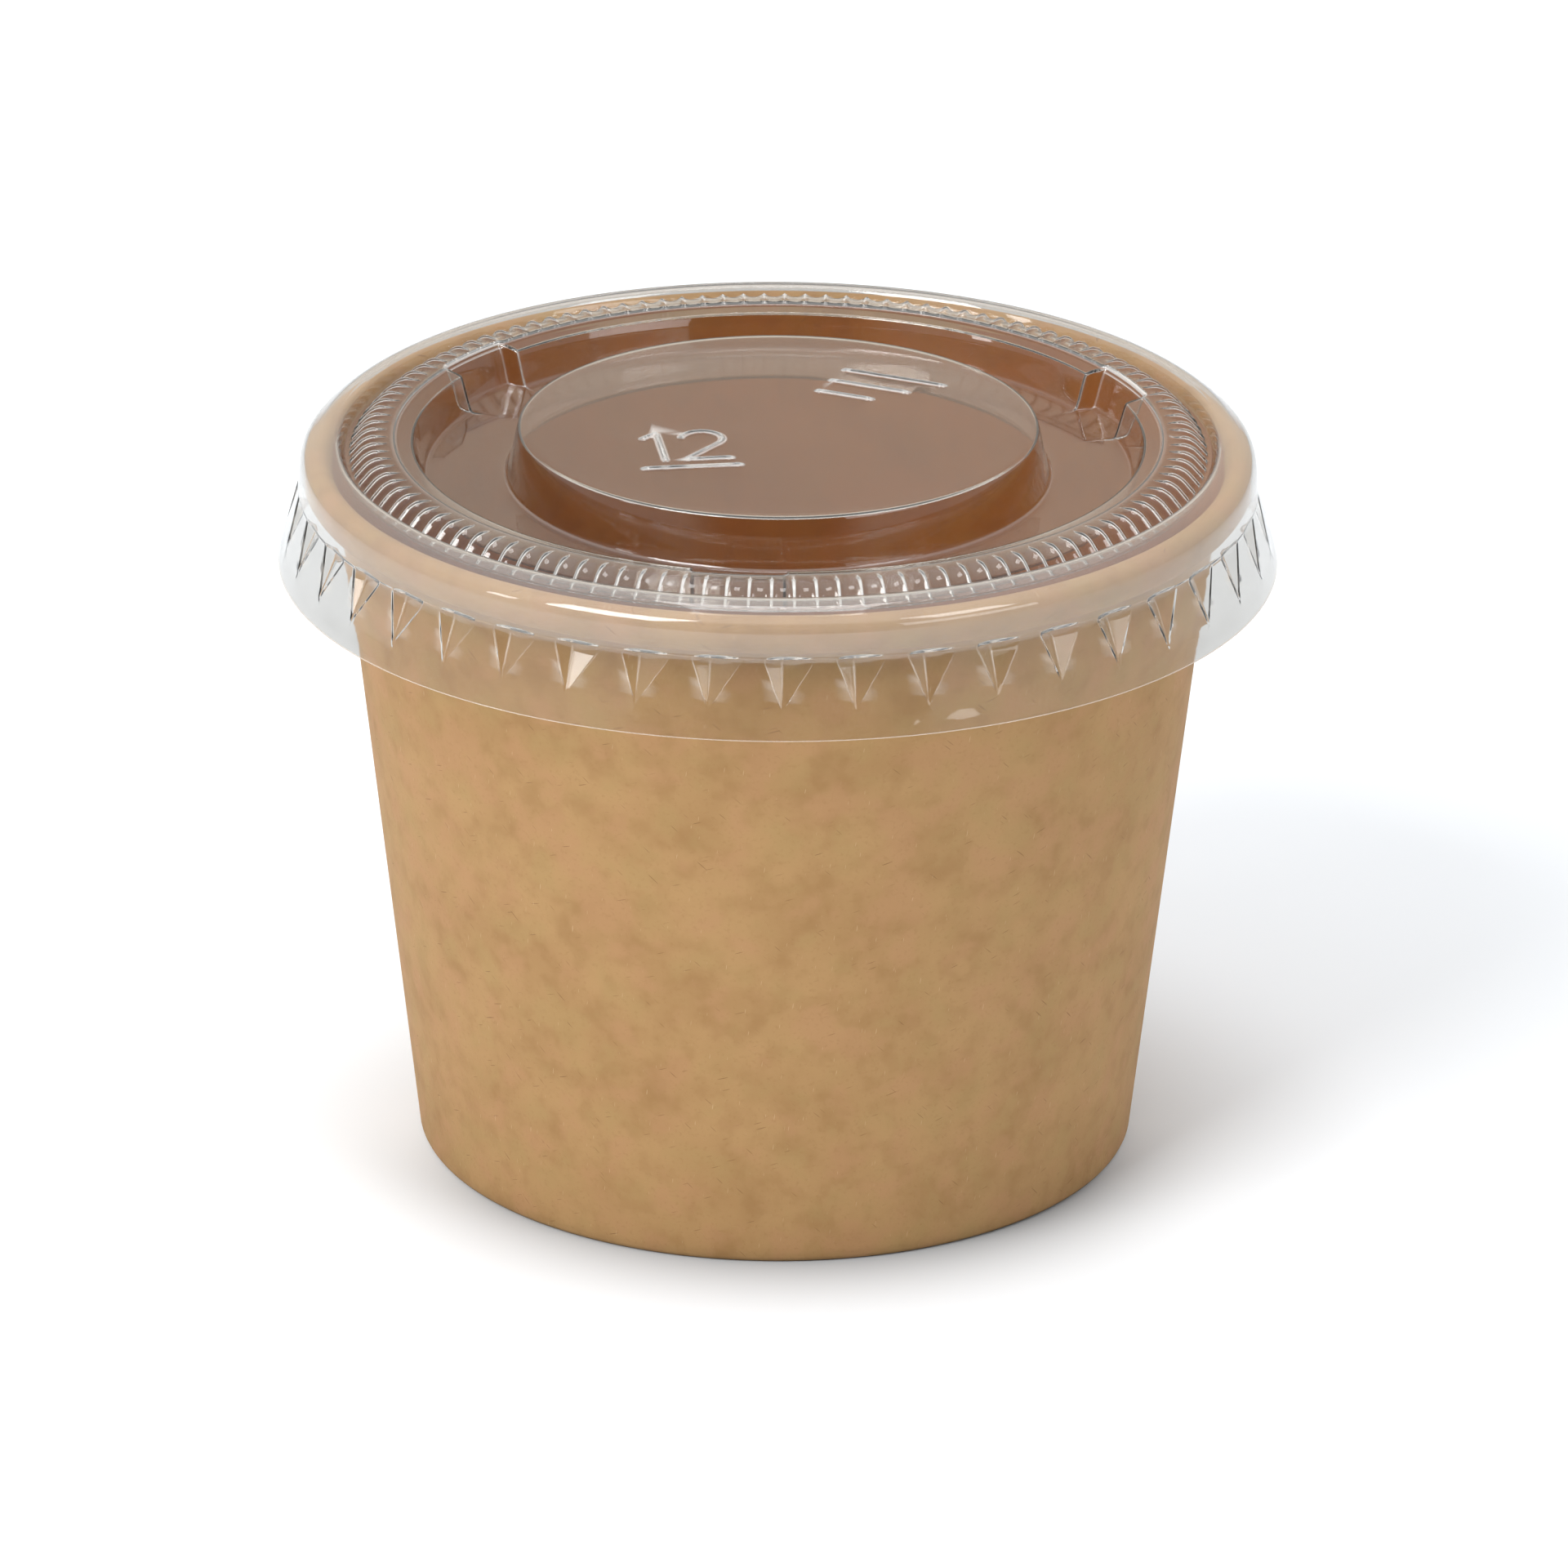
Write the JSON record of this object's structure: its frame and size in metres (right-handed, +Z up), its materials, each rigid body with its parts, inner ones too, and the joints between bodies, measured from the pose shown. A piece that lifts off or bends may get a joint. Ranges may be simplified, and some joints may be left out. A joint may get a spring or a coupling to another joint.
{
  "type": "paper portion cup",
  "caption": "Small tapered paperboard cup with a rolled rim and a recessed bottom, closed by a clear formed lid whose ribbed ring, stacking channel and raised centre sit inside a flared skirt",
  "frame": {"origin": "middle of the base ring, on the surface that the cup stands on", "axes": "+Z is up along the cup's axis, -Y is the front as pictured, and the side wall's glued overlap is at +Y"},
  "size_m": [0.0788, 0.0788, 0.0593],
  "materials": {
    "kraft_paperboard": "matte",
    "kraft_bottom": "matte",
    "clear_lid": "gloss"
  },
  "bodies": {
    "root": {"cup_wall": "kraft_paperboard", "cup_bottom": "kraft_bottom", "lid": "clear_lid"}
  },
  "joints": []
}
